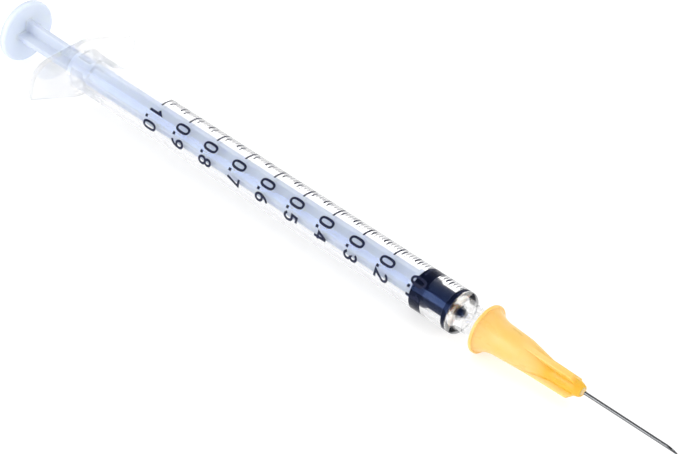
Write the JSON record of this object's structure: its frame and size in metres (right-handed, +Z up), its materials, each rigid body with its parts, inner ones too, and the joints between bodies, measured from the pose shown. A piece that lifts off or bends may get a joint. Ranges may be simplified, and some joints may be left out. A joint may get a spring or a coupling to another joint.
{
  "type": "insulin syringe",
  "caption": "Slim clear syringe with millilitre scale, cross-ribbed plunger, rubber stopper and a pull-off amber needle hub with thin steel needle.",
  "frame": {"origin": "on the table under the middle of the bounding box, as the syringe lies at rest on its finger flange and its needle hub", "axes": "+X towards the needle's point, +Z up, +Y to the left of someone who looks along the needle. The barrel's axis falls 0.82 degrees towards the needle."},
  "size_m": [0.1271, 0.0208, 0.01],
  "materials": {
    "barrel": "clear moulded polypropylene",
    "plunger_rod": "milky blue-white moulded plastic",
    "stopper": "smooth blue-black rubber",
    "needle_hub": "translucent amber plastic",
    "needle_tube": "drawn steel",
    "needle_glue": "hardened clear glue"
  },
  "bodies": {
    "barrel": {"barrel": "barrel"},
    "stopper": {"stopper": "stopper"},
    "plunger": {"plunger_rod": "plunger_rod"},
    "needle": {"needle_hub": "needle_hub", "needle_tube": "needle_tube", "needle_glue": "needle_glue"}
  },
  "joints": [
    {"name": "stopper_slide", "type": "slide", "parent": "barrel", "child": "stopper", "axis": [-0.9999, 0, 0.0143], "range_m": [0, 0.0652]},
    {"name": "rod_turn", "type": "hinge", "parent": "stopper", "child": "plunger", "pos_m": [0.01883, 0, 0.00387], "axis": [0.9999, 0, -0.0143], "continuous": true},
    {"name": "needle_pull", "type": "slide", "parent": "barrel", "child": "needle", "axis": [0.9999, 0, -0.0143], "range_m": [0, 0.01]}
  ]
}
